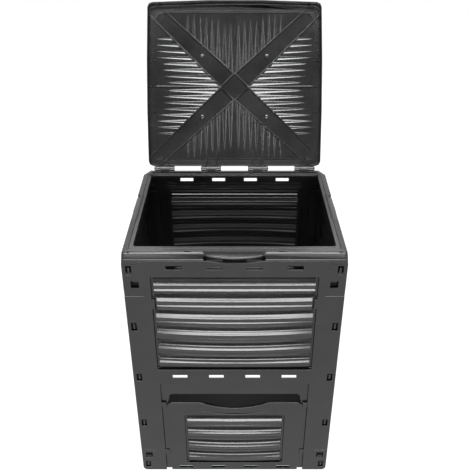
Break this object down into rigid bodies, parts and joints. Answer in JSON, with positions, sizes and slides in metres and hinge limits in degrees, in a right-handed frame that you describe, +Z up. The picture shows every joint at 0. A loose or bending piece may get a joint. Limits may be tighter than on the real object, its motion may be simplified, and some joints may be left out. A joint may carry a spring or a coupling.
{
  "type": "garden compost bin",
  "caption": "Square garden compost bin of snap-together ribbed plastic walls with vent slots, a top frame with hand grips, a sliding door at the foot and a hinged lid, shown open.",
  "frame": {"origin": "on the ground, under the middle of the bounding box with the lid open", "axes": "+X to the right as seen from the door side, +Y to the rear, +Z up"},
  "size_m": [0.6516, 0.851, 1.3443],
  "materials": {
    "wall_plastic": "satin charcoal recycled plastic",
    "pin_plastic": "smooth black plastic"
  },
  "bodies": {
    "bin": {"front_wall": "wall_plastic", "right_wall": "wall_plastic", "rear_wall": "wall_plastic", "left_wall": "wall_plastic", "top_frame": "wall_plastic", "hinge_pin_1": "pin_plastic", "hinge_pin_2": "pin_plastic", "hinge_pin_3": "pin_plastic", "hinge_pin_4": "pin_plastic"},
    "door": {"door": "wall_plastic"},
    "lid": {"lid": "wall_plastic"}
  },
  "joints": [
    {"name": "lid_hinge", "type": "hinge", "parent": "bin", "child": "lid", "pos_m": [0, 0.1473, 0.8515], "axis": [1, 0, 0], "range_deg": [0, 118]},
    {"name": "door_slide", "type": "slide", "parent": "bin", "child": "door", "axis": [0, 0, 1], "range_m": [0, 0.077]}
  ]
}
